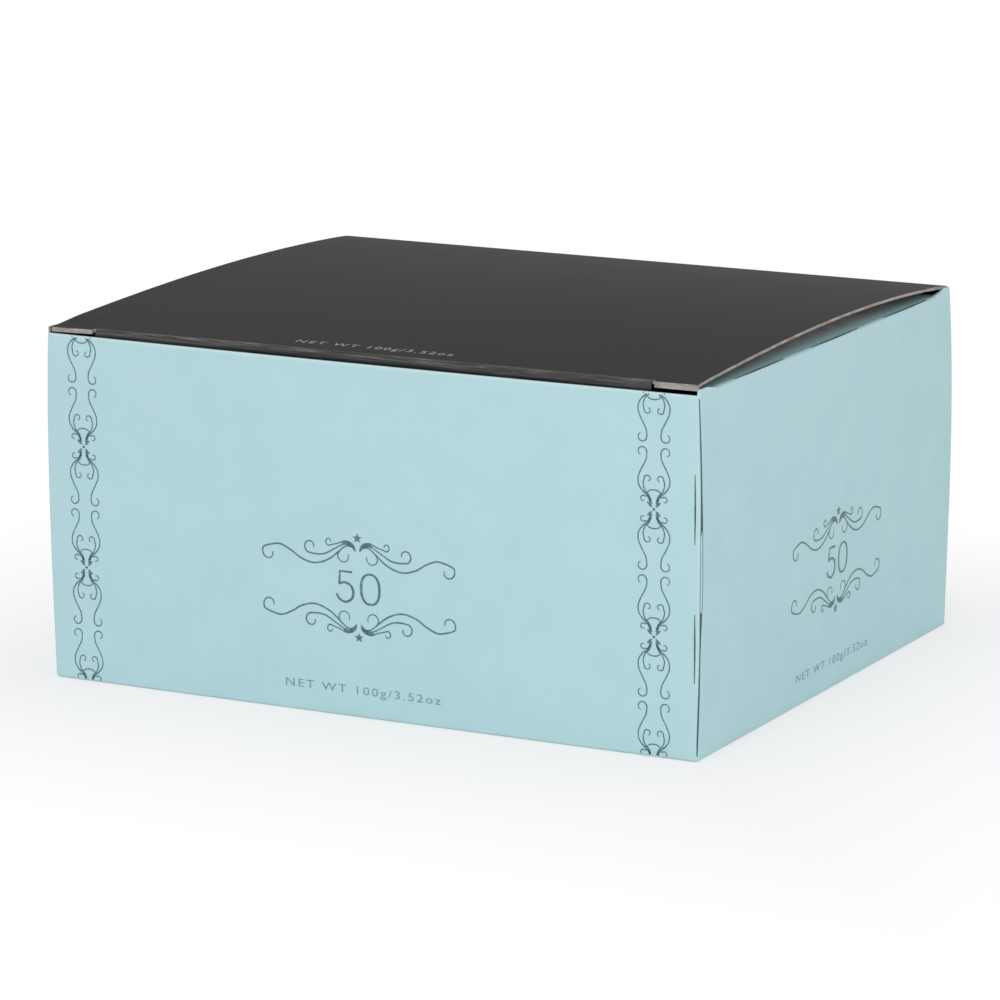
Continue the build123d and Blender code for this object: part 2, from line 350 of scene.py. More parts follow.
def cracked_fold():
    finish = Finish("lid_fold_cracked", Specular_IOR_Level=0.12)
    x, y, z = finish.axes()
    streaks = finish.noise(1500.0, 4.0, 0.65, (0.07, 1, 1.6))
    patches = finish.noise(60.0, 3.0, 0.6, (1, 0.2, 0.2))
    height = z - x * 0.004
    upper = height.over(0.0757, 0.0763) * (1.0 - height.over(0.0766, 0.0769))
    crack = streaks.over(0.48, 0.70) * (0.15 + patches.over(0.42, 0.66)) * (0.12 + upper * 0.7)
    warm = finish.mix(patches.over(0.35, 0.6), CRACKED, (0.34, 0.24, 0.24))
    dark = finish.mix(streaks.over(0.35, 0.6), (0.036, 0.038, 0.036), (0.085, 0.086, 0.084))
    # Painted shadow: below about 75.5 mm the fold is darkened to near black, where it tucks behind the
    # front wall.
    tuck_shadow = 1.0 - z.over(0.0750, 0.0756)
    dark = finish.mix(tuck_shadow * 0.85, dark, (0.008, 0.012, 0.011))
    finish.link("Base Color", finish.mix(crack, dark, warm))
    finish.link("Roughness", 0.45 + streaks * 0.2)
    finish.bump(streaks, 0.5, 0.00012)
    return finish.material


black, cracked = black_board(), cracked_fold()
print("made", black.name, cracked.name)

# %% [markdown]
# ## Raw board, shadowed board and the dust flap
# Where a knife has cut, the grey-brown felt between the coats shows, rough and dull. Faces inside
# the box and under the lid are painted near black as painted shade. The dust flap is the side
# wall's own sheet: its blue turns over the crease and fades into grey with lighter patches.

# %% Raw edges and dust flap board
def raw_board():
    finish = Finish("raw_board_edge", Specular_IOR_Level=0.2)
    layers = finish.noise(2600.0, 3.0, 0.7, (0.12, 0.12, 1.5))
    blots = finish.noise(240.0, 3.0, 0.6)
    pale = finish.mix(layers.over(0.35, 0.7), (0.24, 0.215, 0.20), (0.48, 0.455, 0.44))
    finish.link("Base Color", finish.mix(blots.over(0.5, 0.72) * 0.6, pale, (0.12, 0.11, 0.11)))
    finish.link("Roughness", 0.78 + layers * 0.15)
    finish.bump(layers, 0.6, 0.0001)
    return finish.material


# Painted shade: a near-black board for the faces inside the box and under the lid.
def shaded_inner_board():
    finish = Finish("inner_board_painted_shade", Specular_IOR_Level=0.2)
    felt = finish.noise(700.0, 4.0, 0.6)
    finish.link("Base Color", finish.mix(felt, (0.012, 0.012, 0.012), (0.035, 0.034, 0.032)))
    finish.link("Roughness", 0.85 + felt * 0.1)
    finish.bump(felt, 0.3, 0.0001)
    return finish.material


def flap_board():
    finish = Finish("flap_board_grey", Specular_IOR_Level=0.3)
    x, y, z = finish.axes()
    out_x = finish.node("ShaderNodeMath", {"operation": "ABSOLUTE"}, {0: x})
    ragged = finish.noise(260.0, 4.0, 0.6, (0.4, 1, 1))
    blue_share = (out_x + ragged * 0.0009).over(0.0722, 0.0742)
    dust = finish.noise(130.0, 4.0, 0.65)
    dark = finish.mix(dust.over(0.35, 0.65), (0.42, 0.405, 0.40), (0.56, 0.54, 0.535))
    finish.link("Base Color", finish.mix(blue_share, dark, (0.38, 0.60, 0.62)))
    finish.link("Roughness", 0.42 + dust * 0.2)
    finish.bump(ragged, 0.3, 0.0001)
    return finish.material


raw, inner, flap_finish = raw_board(), shaded_inner_board(), flap_board()
print("made", raw.name, inner.name, flap_finish.name)

# %% [markdown]
# ## The walls
# Four walls and the base are one skin: a loop round the box, repeated from the rounded foot to
# the top, over the rim and a little way down inside, then closed; the faces inside are painted
# near black as painted shade. The front wall ends in a pale edge, a painted highlight, the side
# walls turn over their flap creases, and shoulders stand at the corners.

# %% Walls
WALL_STATIONS, SIDE_STATIONS, CORNER_STATIONS, WALL_ROWS = 56, 48, 6, 46
TURN_OVER, INNER_DROP, SHOULDER_BELOW_LID = 1.5, 3.2, 0.3
SHOULDER_FLAT, SHOULDER_END, FRONT_CORNER_REACH = 4.6, 7.6, 0.35
FOOT_STEPS, CREASE_STEPS, RIM_STEP, FLAP_TOP_MARGIN = 4, 3, 0.02, 0.25
BLUE_FACE, RAW_FACE, INNER_FACE = 0, 1, 2


def wall_loop(z):
    """Points and wall kinds round the box at a height, front left corner first."""
    radius, half, rear = CORNER_RADIUS, half_width(z), back_y(z)
    loop = []
    for i in range(WALL_STATIONS + 1):
        x = -half + radius + (2 * half - 2 * radius) * i / WALL_STATIONS
        loop.append((front_place(x, z)[0], "front"))
    corner_loop(loop, half - radius, FRONT_Y + radius, -90)
    for i in range(SIDE_STATIONS + 1):
        y = FRONT_Y + radius + (rear - FRONT_Y - 2 * radius) * i / SIDE_STATIONS
        loop.append((right_place(y, z)[0], "side"))
    corner_loop(loop, half - radius, rear - radius, 0)
    for i in range(WALL_STATIONS + 1):
        u = -half + radius + (2 * half - 2 * radius) * i / WALL_STATIONS
        loop.append((back_place(u, z)[0], "back"))
    corner_loop(loop, -half + radius, rear - radius, 90)
    for i in range(SIDE_STATIONS + 1):
        u = -rear + radius + (rear - FRONT_Y - 2 * radius) * i / SIDE_STATIONS
        loop.append((left_place(u, z)[0], "side"))
    corner_loop(loop, -half + radius, FRONT_Y + radius, 180)
    return loop


def corner_loop(loop, x, y, start):
    """Adds a rounded corner's inner stations, from the start angle through a quarter turn."""
    for k in range(1, CORNER_STATIONS):
        turn = math.radians(start + 90 * k / CORNER_STATIONS)
        at = (x + CORNER_RADIUS * math.cos(turn), y + CORNER_RADIUS * math.sin(turn), 0)
        loop.append((Vector(at), "corner"))


def top_height(x, y, kind):
    """Where the wall ends: shoulders at the corners, lower along the front and the flaps."""
    if kind == "front":
        return FRONT_EDGE_Z
    if kind == "back":
        return BACK_EDGE_Z
    from_corner = DEPTH / 2 - abs(y)
    shoulder = 1 - ease(SHOULDER_FLAT, SHOULDER_END, from_corner)
    front_corner = kind == "corner" and y < 0 and abs(x) < WIDTH / 2 - FRONT_CORNER_REACH
    shoulder_z = max(SHOULDER_Z, lid_height(x, y) - SHOULDER_BELOW_LID) if y > 0 else SHOULDER_Z
    return FRONT_EDGE_Z if front_corner else FLAP_CREASE_Z + (shoulder_z - FLAP_CREASE_Z) * shoulder


def inset(point, amount):
    """The point moved inwards from the wall it is on."""
    inner_x, inner_y = WIDTH / 2 - CORNER_RADIUS, DEPTH / 2 - CORNER_RADIUS
    out = Vector((point.x - max(-inner_x, min(inner_x, point.x)),
                  point.y - max(-inner_y, min(inner_y, point.y)), 0))
    return point - out.normalized() * amount if out.length else point


def build_walls():
    points, kinds = [], [kind for _, kind in wall_loop(0)]
    tops = [top_height(p.x, p.y, kind) for p, kind in wall_loop(FLAP_CREASE_Z)]
    loop = len(kinds)

    def add_row(heights, insets):
        for k in range(loop):
            spot = cached_loop(heights[k])[k][0].copy()
            spot.z = heights[k]
            points.append(inset(spot, insets[k]))

    store = {}

    def cached_loop(z):
        key = round(z, 3)
        if key not in store:
            store[key] = wall_loop(key)
        return store[key]

    flap_side = [k == "side" and top < FLAP_CREASE_Z + FLAP_TOP_MARGIN for k, top in zip(kinds, tops)]
    for step in range(FOOT_STEPS + 1):
        turn = math.radians(90 * step / FOOT_STEPS)
        add_row([BASE_RADIUS * (1 - math.sin(turn))] * loop, [BASE_RADIUS * (1 - math.cos(turn))] * loop)
    points_by_row = [points[r * loop:(r + 1) * loop] for r in range(FOOT_STEPS + 1)]
    points[:] = [p for row in reversed(points_by_row) for p in row]
    for row in range(1, WALL_ROWS + 1):
        share = row / WALL_ROWS
        add_row([BASE_RADIUS + (top - CREASE_RADIUS * side - BASE_RADIUS) * share
                 for top, side in zip(tops, flap_side)], [0.0] * loop)
    for step in range(1, CREASE_STEPS + 1):
        turn = math.radians(90 * step / CREASE_STEPS)
        drop, inwards = CREASE_RADIUS * (1 - math.sin(turn)), CREASE_RADIUS * (1 - math.cos(turn))
        add_row([top - drop * side for top, side in zip(tops, flap_side)],
                [inwards * side + RIM_STEP * step * (not side) for side in flap_side])
    rim_row = len(points) // loop
    add_row(tops, [TURN_OVER if side else BOARD for side in flap_side])
    add_row([top - INNER_DROP for top in tops], [TURN_OVER if side else BOARD for side in flap_side])
    rows = len(points) // loop
    faces = loft_faces(rows, loop)
    finishes = []
    for row in range(rows - 1):
        for k in range(loop):
            on_flap = flap_side[k] and flap_side[(k + 1) % loop]
            if row == rim_row - 1 and not on_flap:
                # The front rim takes the blue finish, whose painted highlight makes it a pale line.
                finishes.append(BLUE_FACE if kinds[k] == "front" else RAW_FACE)
            else:
                # Faces inside the rim take the near-black finish, painted shade.
                finishes.append(INNER_FACE if row == rim_row else BLUE_FACE)
    finishes += [BLUE_FACE, INNER_FACE]
    return add_mesh("box_walls", points, faces, blue, face_finishes=finishes, slots=[blue, raw, inner])


walls = build_walls()
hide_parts("carton")
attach(walls, "root")
print("walls", len(walls.data.polygons), "faces")

# %% [markdown]
# ## The lid
# The lid is a thin sheet, so it is a grid of columns from left to right, each a closed loop over
# the top and back underneath. In the slit zones at both ends the sheet reaches the very front and
# its cut lip is crushed a little thicker; between them it stops where the fold rolls down.

# %% Lid sheet
LIP_EXTRA, LIP_DEPTH, LEFT_DROOP, SLIT_END = 0.35, 1.6, 0.25, 0.8
RIGHT_LIP_SHARE = 1.9
LID_COLUMNS, LID_ROWS, SLIT_COLUMNS, STEP_GAP = 90, 64, 12, 0.02
WAVE_RISE, WAVE_RATE, DROOP_SPAN, DROOP_DEPTH = 0.10, 17.0, 6, 12
BACK_CREASE_RADIUS, EVEN_SHARE, LEAST_THICKNESS = 0.4, 0.6, 0.1
BLACK_FACE, UNDER_FACE = 0, 2


def lid_columns():
    """Positions across the lid, doubled where its front edge steps back for the fold."""
    columns = []
    left_step, right_step = FOLD_LEFT_X - SLIT_END, FOLD_RIGHT_X + SLIT_END
    for i in range(SLIT_COLUMNS + 1):
        columns.append((LID_LEFT_X + (left_step - LID_LEFT_X) * i / SLIT_COLUMNS, LID_FRONT_Y))
    for i in range(LID_COLUMNS + 1):
        across = (right_step - left_step - 2 * STEP_GAP) * i / LID_COLUMNS
        columns.append((left_step + STEP_GAP + across, LID_FRONT_Y + FOLD_RADIUS))
    for i in range(SLIT_COLUMNS + 1):
        columns.append((right_step + (LID_RIGHT_X - right_step) * i / SLIT_COLUMNS, LID_FRONT_Y))
    return columns


def slit_lip(x, y):
    """1 at the left slit's cut lip and RIGHT_LIP_SHARE at the right one, fading to 0 behind them, and 0
    between the slits.
    """
    in_slit = 1.0 if x < FOLD_LEFT_X or x > FOLD_RIGHT_X else 0.0
    more = 1.0 if x < 0 else RIGHT_LIP_SHARE
    return in_slit * more * (1 - ease(0.2, LIP_DEPTH, y - LID_FRONT_Y))


def sheet_height(x, y):
    """The lid's height with its drooping left front corner and a slow wave across it."""
    from_front = y - LID_FRONT_Y
    at_left = 1 - ease(LID_LEFT_X, FOLD_LEFT_X + DROOP_SPAN, x)
    droop = LEFT_DROOP * at_left * (1 - ease(0, DROOP_DEPTH, from_front))
    along = math.sin(math.pi * from_front / (LID_BACK_Y - LID_FRONT_Y))
    wave = WAVE_RISE * math.sin(x / WAVE_RATE + 1.0) * along
    return lid_height(x, y) - droop + wave


def build_lid():
    points, finishes = [], []
    columns = lid_columns()
    for x, start_y in columns:
        upper, lower = [], []
        for j in range(LID_ROWS + 1):
            share = j / LID_ROWS
            share = ease(0, 1, share) * (1 - EVEN_SHARE) + share * EVEN_SHARE
            y = start_y + (LID_BACK_Y - start_y) * share
            near_back = max(0.0, BACK_CREASE_RADIUS - (LID_BACK_Y - y))
            round_height = math.sqrt(max(0.0, BACK_CREASE_RADIUS**2 - near_back**2))
            z = sheet_height(x, y) - (BACK_CREASE_RADIUS - round_height)
            upper.append(Vector((x, y, z)))
            thickness = LID_BOARD + LIP_EXTRA * slit_lip(x, y)
            under_z = min(z - LEAST_THICKNESS, sheet_height(x, y) - thickness)
            lower.append(Vector((x, y, under_z)))
        points += upper + lower[::-1]
    loop = 2 * (LID_ROWS + 1)
    faces = loft_faces(len(columns), loop)
    for _ in range(len(columns) - 1):
        for k in range(loop):
            if k == loop - 1:
                finishes.append(RAW_FACE)
            else:
                # The underside takes the near-black finish, painted shade.
                finishes.append(UNDER_FACE if k > LID_ROWS else BLACK_FACE)
    # The left end takes the black finish, painted shade; the right end takes the raw one.
    finishes += [BLACK_FACE, RAW_FACE]
    return add_mesh("lid_sheet", points, faces, black, face_finishes=finishes, slots=[black, raw, inner])


lid = build_lid()
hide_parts("lid")
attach(lid, "root")
lid.data.shade_smooth()
lid.data.set_sharp_from_angle(angle=math.radians(40))
walls.data.set_sharp_from_angle(angle=math.radians(50))
print("lid", len(lid.data.polygons), "faces")

# %% [markdown]
# ## The front fold
# Creased board doesn't bend as a clean arc. The outer ply crushes into small ridges, so the fold's
# profile is swept along the crease with a little unevenness, and its left end is a rumpled ear.

# %% Front fold
FOLD_COLUMNS, FOLD_STEPS, TUCK_LOW_Z = 260, 6, 72.0
RIDGE_COUNT, EAR_FROM_END, EAR_WIDTH, EAR_OUT, EAR_SWELL = 9, 1.6, 1.3, 0.25, 0.12
FACE_UNEVEN, TOP_UNEVEN, FOLD_OVERLAP = 0.06, 0.5, 0.15


def build_fold():
    random.seed(7)
    points = []
    ridges = [(random.uniform(0.2, 1.4), random.uniform(0, 6.28), random.uniform(0.015, 0.05))
              for _ in range(RIDGE_COUNT)]
    for i in range(FOLD_COLUMNS + 1):
        x = FOLD_LEFT_X + (FOLD_RIGHT_X - FOLD_LEFT_X) * i / FOLD_COLUMNS
        uneven = sum(size * math.sin(rate * x + phase) for rate, phase, size in ridges)
        ear = math.exp(-((x - FOLD_LEFT_X - EAR_FROM_END) / EAR_WIDTH) ** 2)
        top = sheet_height(x, LID_FRONT_Y + FOLD_RADIUS) + 0.02
        front = LID_FRONT_Y - EAR_OUT * ear - FACE_UNEVEN * uneven
        loop = [(front, TUCK_LOW_Z), (front, top - 1.9), (front - 0.05, top - 1.35)]
        for step in range(FOLD_STEPS + 1):
            turn = math.radians(90 * step / FOLD_STEPS)
            radius = FOLD_RADIUS * (1 + EAR_SWELL * ear)
            lift = uneven * TOP_UNEVEN * math.sin(2 * turn) + EAR_SWELL * ear * math.sin(turn)
            fold_y = front + radius * (1 - math.cos(turn))
            loop.append((fold_y, top - radius + radius * math.sin(turn) + lift))
        back, inside = LID_FRONT_Y + FOLD_RADIUS + FOLD_OVERLAP, LID_FRONT_Y + LID_BOARD
        loop += [(back, top - 0.03), (back, top - LID_BOARD), (inside, top - FOLD_RADIUS)]
        loop.append((inside, TUCK_LOW_Z))
        points += [Vector((x, y, z)) for y, z in loop]
    loop_size = len(points) // (FOLD_COLUMNS + 1)
    return add_mesh("lid_front_fold", points, loft_faces(FOLD_COLUMNS + 1, loop_size), cracked)


fold = build_fold()
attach(fold, "root")
print("fold", len(fold.data.polygons), "faces")

# %% [markdown]
# ## The dust flaps
# A dust flap leaves its crease and rises until the lid rests on it. It is a ruled sheet between
# the straight crease and the lid's underside, so two nested loops make it.

# %% Dust flaps
FLAP_COLUMNS, FLAP_ROWS, FLAP_TAPER, UNDER_LID = 12, 60, 4.0, 0.78
RIPPLE_RISE, RIPPLE_RATE, CREASE_GAP = 0.06, 6.0, 0.02


def build_flap(name, side):
    points = []
    for i in range(FLAP_COLUMNS + 1):
        inwards = i / FLAP_COLUMNS
        x = side * (FLAP_OUTER_X + CREASE_GAP + (FLAP_INNER_X - FLAP_OUTER_X) * inwards)
        span = FLAP_HALF_SPAN - FLAP_TAPER * inwards
        upper = []
        for j in range(FLAP_ROWS + 1):
            y = span * (2 * j / FLAP_ROWS - 1)
            rest = lid_height(side * FLAP_INNER_X, y) - UNDER_LID
            ripple = RIPPLE_RISE * math.sin(y / RIPPLE_RATE) * inwards * (1 - inwards)
            z = FLAP_CREASE_Z + (rest - FLAP_CREASE_Z) * inwards + ripple - CREASE_GAP / 2
            upper.append(Vector((x, y, z)))
        points += upper + [p - Vector((0, 0, BOARD)) for p in reversed(upper)]
    faces = loft_faces(FLAP_COLUMNS + 1, 2 * (FLAP_ROWS + 1))
    if side > 0:
        faces = [tuple(reversed(face)) for face in faces]
    flap = add_mesh(name, points, faces, flap_finish)
    flap.data.set_sharp_from_angle(angle=math.radians(40))
    return flap


for flap_name, flap_side in (("dust_flap_right", 1), ("dust_flap_left", -1)):
    flap = build_flap("shown_" + flap_name, flap_side)
    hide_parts(flap_name)
    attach(flap, "root")
print("dust flaps made")

# %% [markdown]
# ## Printed lines as ribbons
# Print has no thickness to speak of, but a ribbon a few hundredths of a millimetre proud follows
# every swell of the wall and stays crisp from any side. A stroke is a short list of places with a
# width at each; a smooth curve runs through them, and the ribbon is laid on the wall.

# %% Ribbon strokes
INK_LIFT = 0.035


def between(t, p, q, r, s):
    """The Catmull-Rom value a share t of the way from q to r, with p and s outside them."""
    return 0.5 * (2 * q + (r - p) * t + (2 * p - 5 * q + 4 * r - s) * t * t
                  + (3 * q - p - 3 * r + s) * t**3)


def smooth_stroke(stroke, steps=7):
    """Extra places between a stroke's own, on a Catmull-Rom curve through them."""
    ends = [stroke[0]] + list(stroke) + [stroke[-1]]
    fine = []
    for a, b, c, d in zip(ends, ends[1:], ends[2:], ends[3:]):
        for k in range(steps):
            fine.append([between(k / steps, *four) for four in zip(a, b, c, d)])
    fine.append(list(stroke[-1]))
    return fine


def curl(x, y, radius, start, sweep, width, tail=0.45, steps=9):
    """Places on a spiral that tightens to tail of its radius, angles in degrees."""
    places = []
    for k in range(steps + 1):
        share = k / steps
        turn = math.radians(start + sweep * share)
        reach = radius * (1 - (1 - tail) * share)
        thinned = width * (1 - 0.3 * share)
        places.append((x + reach * math.cos(turn), y + reach * math.sin(turn), thinned))
    return places


class Print:
    """Collects ribbons for one piece of print on one wall."""

    def __init__(self, name, place, finish, lift=INK_LIFT):
        self.name, self.place, self.finish, self.lift = name, place, finish, lift
        self.points, self.faces = [], []

    def ribbon(self, stroke, smooth=True):
        line = smooth_stroke(stroke) if smooth else [list(p) for p in stroke]
        first = len(self.points)
        for k, (u, v, width) in enumerate(line):
            before, after = line[max(0, k - 1)], line[min(len(line) - 1, k + 1)]
            along = Vector((after[0] - before[0], after[1] - before[1]))
            along = along.normalized() if along.length > 1e-9 else Vector((1, 0))
            for side, lift in ((1, self.lift), (-1, self.lift), (-1, -self.lift), (1, -self.lift)):
                at_u = u - along.y * side * width / 2
                at_v = v + along.x * side * width / 2
                point, normal = self.place(at_u, at_v)
                self.points.append(point + normal * lift)
        self.faces += loft_faces(len(line), 4, first)

    def patch(self, outline):
        """A filled shape with straight sides."""
        first, count = len(self.points), len(outline)
        for lift in (-self.lift, self.lift):
            for u, v in outline:
                point, normal = self.place(u, v)
                self.points.append(point + normal * lift)
        self.faces += loft_faces(2, count, first)

    def make(self):
        piece = add_mesh(self.name, self.points, self.faces, self.finish, smooth=False)
        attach(piece, "root")
        return piece


print("ribbons ready")

# %% [markdown]
# ## Inks
# The line ornament is a grey teal ink, thin enough for the board to show through in places. The
# small weight line is paler, and on the lid the same line is a pale grey.

# %% Ink finishes
def ink(name, colour, board, wear):
    finish = Finish(name, Specular_IOR_Level=0.4)
    thin = finish.noise(1900.0, 3.0, 0.7).over(0.5, 0.8)
    cloud = finish.noise(160.0, 3.0, 0.6)
    finish.link("Base Color", finish.mix(thin * wear + cloud * 0.12, colour, board))
    finish.link("Roughness", 0.42 + thin * 0.1)
    return finish.material


line_ink = ink("line_ink_teal", (0.055, 0.135, 0.150), BLUE, 0.5)
pale_ink = ink("pale_ink_teal", (0.150, 0.290, 0.310), BLUE, 0.4)
lid_ink = ink("pale_ink_grey", (0.27, 0.28, 0.27), BLACK, 0.5)
# The dark cut ink is painted shade inside the knife cuts and the glued seam; the pale one is a painted
# highlight on the cuts' raised edges.
cut_shade_ink = ink("knife_cut_painted_shade", (0.020, 0.045, 0.048), BLUE, 0.25)
cut_highlight_ink = ink("knife_cut_painted_highlight", (0.60, 0.76, 0.76), BLUE, 0.4)
print("inks made")

# %% [markdown]
# ## The scrollwork
# The centre ornament is one quarter drawn once and mirrored twice: a leaf whose strands part into
# a long S, two smaller curls above it and one below, round the figures of the count, with a
# star over and under. Traditional penwork like this swells and thins along each stroke.

# %% Centre ornament
STAR_POINTS, STAR_SIZE, STAR_WAIST, STAR_V = 5, 1.12, 0.42, 10.55
NOUGHT_U, NOUGHT_HALF_WIDTH, NOUGHT_HALF_HEIGHT, NOUGHT_STEPS = 2.85, 2.15, 3.2, 32
NOUGHT_SQUARENESS, NOUGHT_THIN, NOUGHT_THICKER = 0.85, 0.42, 0.18


def quarter_strokes():
    leaf = [(0.5, 7.7, 0.12), (0.9, 8.5, 0.75), (1.6, 9.2, 0.85), (2.6, 9.4, 0.55), (3.6, 9.2, 0.3)]
    top_curl = [(1.7, 9.5, 0.3), (2.9, 9.75, 0.26), (4.5, 9.1, 0.26), (5.9, 8.7, 0.26)]
    top_curl += curl(6.7, 9.3, 0.88, -85, 270, 0.3)
    middle = [(1.4, 9.0, 0.3), (3.4, 8.9, 0.28), (5.5, 7.8, 0.3), (7.7, 6.6, 0.32), (9.7, 6.3, 0.34)]
    middle += curl(11.2, 7.85, 1.42, -72, 265, 0.36, 0.6)
    long_s = [(1.2, 8.7, 0.3), (2.8, 8.6, 0.28), (4.6, 7.2, 0.32), (6.5, 5.7, 0.36), (8.8, 4.65, 0.36),
              (11.0, 4.4, 0.36), (13.6, 5.15, 0.36), (15.9, 6.55, 0.36), (18.4, 7.55, 0.36),
              (20.7, 7.2, 0.36)]
    long_s += curl(21.1, 5.5, 1.62, 42, -235, 0.36, 0.55)
    under = [(4.2, 7.6, 0.22)] + curl(3.35, 6.5, 1.32, 12, -215, 0.28, 0.9)
    return [leaf, top_curl, middle, long_s, under]


def star(centre_u, centre_v, size):
    outline = []
    for k in range(2 * STAR_POINTS):
        turn = math.radians(90 + 180 / STAR_POINTS * k)
        reach = size if k % 2 == 0 else size * STAR_WAIST
        outline.append((centre_u + reach * math.cos(turn), centre_v + reach * math.sin(turn)))
    return outline


def squared(value):
    """A sine or cosine pushed outwards, so that an oval's sides run straighter."""
    return math.copysign(abs(value) ** NOUGHT_SQUARENESS, value)


def count_figures():
    """The strokes of the five, its bowl and the nought."""
    five = [(-1.35, 3.25, 0.5), (-4.25, 3.25, 0.5), (-4.45, 0.55, 0.5)]
    bowl = [(-4.45, 0.55, 0.46), (-3.2, 0.95, 0.5), (-1.75, 0.4, 0.55), (-1.15, -0.95, 0.58),
            (-1.6, -2.45, 0.56), (-3.1, -3.2, 0.5), (-4.5, -2.6, 0.5), (-5.15, -1.6, 0.52)]
    nought = []
    for k in range(NOUGHT_STEPS + 1):
        turn = 2 * math.pi * k / NOUGHT_STEPS
        cosine, sine = math.cos(turn), math.sin(turn)
        u = NOUGHT_U + NOUGHT_HALF_WIDTH * squared(cosine)
        width = NOUGHT_THIN + NOUGHT_THICKER * abs(cosine)
        nought.append((u, NOUGHT_HALF_HEIGHT * squared(sine), width))
    return five, bowl, nought


def centre_ornament(name, place, at_u, at_v):
    block = Print(name, lambda u, v: place(u + at_u, v + at_v), line_ink)
    for flip_u, flip_v, stroke in product((-1, 1), (-1, 1), quarter_strokes()):
        block.ribbon([(u * flip_u, v * flip_v, w) for u, v, w in stroke])
    for star_v in (-STAR_V, STAR_V):
        block.patch(star(0, star_v, STAR_SIZE))
    five, bowl, nought = count_figures()
    block.ribbon(five, smooth=False)
    block.ribbon(bowl)
    block.ribbon(nought, smooth=False)
    return block.make()


FRONT_BLOCK, SIDE_BLOCK = (-1.1, 27.7), (1.9, 28.0)
BLOCKS = (("front", front_place, FRONT_BLOCK), ("right", right_place, SIDE_BLOCK),
          ("back", back_place, FRONT_BLOCK), ("left", left_place, SIDE_BLOCK))
for wall_name, wall_place, (block_u, block_v) in BLOCKS:
    ornament = centre_ornament(f"centre_ornament_{wall_name}", wall_place, block_u, block_v)
print("centre ornament", len(ornament.data.polygons), "faces each")

# %% [markdown]
# ## The border strips
# A strip near each end of the front repeats a lyre shape: two lines swell apart, curl out at a
# waist, and meet at a knot of four petals round a dot. One knot's quarter is drawn and mirrored,
# and the strip is cut off where the wall ends.

# %% Border strips
STRIP_PITCH, STRIP_KNOT_V = 26.15, 51.1
STRIP_LEFT_U, STRIP_RIGHT_U = -67.3, 66.3
STRIP_FOOT_V, STRIP_TOP_V, DOT_SIZE = 0.5, FRONT_EDGE_Z - 0.15, 0.38


def knot_quarter():
    outer = [(0.55, 1.0, 0.5), (1.3, 2.6, 0.36), (2.5, 3.6, 0.3), (3.35, 4.9, 0.26), (3.4, 6.5, 0.26),
             (2.6, 8.3, 0.26), (1.75, 9.9, 0.26), (1.55, 11.2, 0.26)]
    outer += curl(2.62, 11.55, 1.05, 170, -235, 0.28, 0.7)
    inner_scroll = [(0.6, 1.6, 0.4), (1.1, 2.8, 0.3), (1.95, 3.7, 0.26)]
    inner_scroll += [(2.35, 5.0, 0.26), (2.1, 6.2, 0.26)]
    inner_scroll += curl(1.35, 6.1, 0.8, 25, 235, 0.26, 0.5)
    petal = [(0.42, 0.45, 0.2), (0.75, 0.75, 0.5), (1.15, 1.2, 0.5), (1.5, 1.3, 0.2)]
    small = [(0.7, 1.5, 0.3), (1.3, 2.5, 0.26)] + curl(2.35, 2.0, 0.68, 130, -250, 0.26, 0.6)
    joint = [(0.0, 3.95, 0.26), (0.9, 3.8, 0.26), (1.5, 3.3, 0.2)]
    return [outer, inner_scroll, petal, small, joint]


def clip(stroke, low, high):
    """The runs of a fine stroke that lie on the wall."""
    runs, run = [], []
    for place in stroke:
        if low < place[1] < high:
            run.append(place)
        elif run:
            runs.append(run)
            run = []
    return [r for r in runs + [run] if len(r) > 1]


def border_strips(name, place):
    strips = Print(name, place, line_ink)
    for strip_u in (STRIP_LEFT_U, STRIP_RIGHT_U):
        for knot in range(-2, 2):
            knot_v = STRIP_KNOT_V + knot * STRIP_PITCH
            for stroke, flip_u, flip_v in product(knot_quarter(), (-1, 1), (-1, 1)):
                moved = [(strip_u + u * flip_u, knot_v + v * flip_v, w)
                         for u, v, w in smooth_stroke(stroke, 4)]
                for run in clip(moved, STRIP_FOOT_V, STRIP_TOP_V):
                    strips.ribbon(run, smooth=False)
            if 1 < knot_v < FRONT_EDGE_Z - 1:
                strips.patch([(strip_u + DOT_SIZE, knot_v), (strip_u, knot_v + DOT_SIZE),
                              (strip_u - DOT_SIZE, knot_v), (strip_u, knot_v - DOT_SIZE)])
    return strips.make()


for wall_name, wall_place in (("front", front_place), ("back", back_place)):
    strips = border_strips(f"border_strips_{wall_name}", wall_place)
print("border strips", len(strips.data.polygons), "faces each")

# %% [markdown]
# ## The weight line
# A plain weight is set in small spaced capitals low on each wall, and near the lid's front edge.
# Blender's own font, turned into a mesh, is laid on the wall point by point.

# %% Weight lines
WEIGHT_WORDS = "NET WT 100g/3.52oz"
WEIGHT_WIDTH, WALL_LETTERS, LID_LETTERS = 36.6, 1.7, 1.9
LETTER_SPACING, TALLEST_LETTER = 1.25, 0.9
FRONT_WEIGHT, SIDE_WEIGHT, LID_WEIGHT = (-0.5, 5.9), (1.4, 6.3), (-0.2, -58.0)


